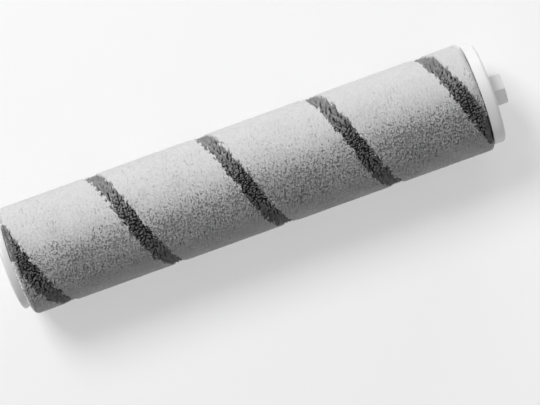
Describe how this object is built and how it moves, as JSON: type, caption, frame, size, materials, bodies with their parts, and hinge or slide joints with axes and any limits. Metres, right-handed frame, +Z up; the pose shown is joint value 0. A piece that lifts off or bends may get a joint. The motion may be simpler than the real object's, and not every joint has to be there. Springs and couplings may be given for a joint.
{
  "type": "vacuum soft roller brush",
  "caption": "Plush roller for a stick vacuum's floor head: light pile with a dark helical strip on a tube, a splined drive socket at one end and a six-sided nub on a ball bearing at the other.",
  "frame": {"origin": "middle of the roller's bounding box, on the floor that its pile rests on", "axes": "+X along the roller from the drive end to the nub, +Z up from the flat spot on the pile"},
  "size_m": [0.228, 0.048, 0.0476],
  "materials": {
    "light_plush": "matte",
    "dark_plush": "matte",
    "white_plastic": "satin",
    "core_plastic": "matte",
    "socket_plastic": "satin",
    "cage_plastic": "satin",
    "bearing_steel": "satin",
    "ball_steel": "polished",
    "spring_steel": "satin",
    "screw_steel": "satin",
    "felt": "matte"
  },
  "bodies": {
    "roller": {"light_pile": "light_plush", "dark_strip": "dark_plush", "core_tube": "core_plastic", "drive_end_cap": "white_plastic", "drive_socket": "socket_plastic", "bearing_carrier": "white_plastic", "bearing_outer_race": "bearing_steel", "inboard_shield": "bearing_steel", "outboard_shield": "bearing_steel", "bearing_clip": "spring_steel"},
    "still_cap": {"nub_cap": "white_plastic", "bearing_inner_race": "bearing_steel", "dust_felt": "felt", "screw_washer": "screw_steel", "retaining_screw": "screw_steel"},
    "ball_set": {"bearing_balls": "ball_steel", "bearing_cage": "cage_plastic"}
  },
  "joints": [
    {"name": "cap_spin", "type": "hinge", "parent": "roller", "child": "still_cap", "pos_m": [0.096, 0, 0.02357], "axis": [1, 0, 0], "continuous": true},
    {"name": "ball_orbit", "type": "hinge", "parent": "roller", "child": "ball_set", "pos_m": [0.096, 0, 0.02357], "axis": [1, 0, 0], "continuous": true}
  ],
  "couplings": [
    {"joint": "ball_orbit", "follows": "cap_spin", "ratio": 0.3677}
  ]
}
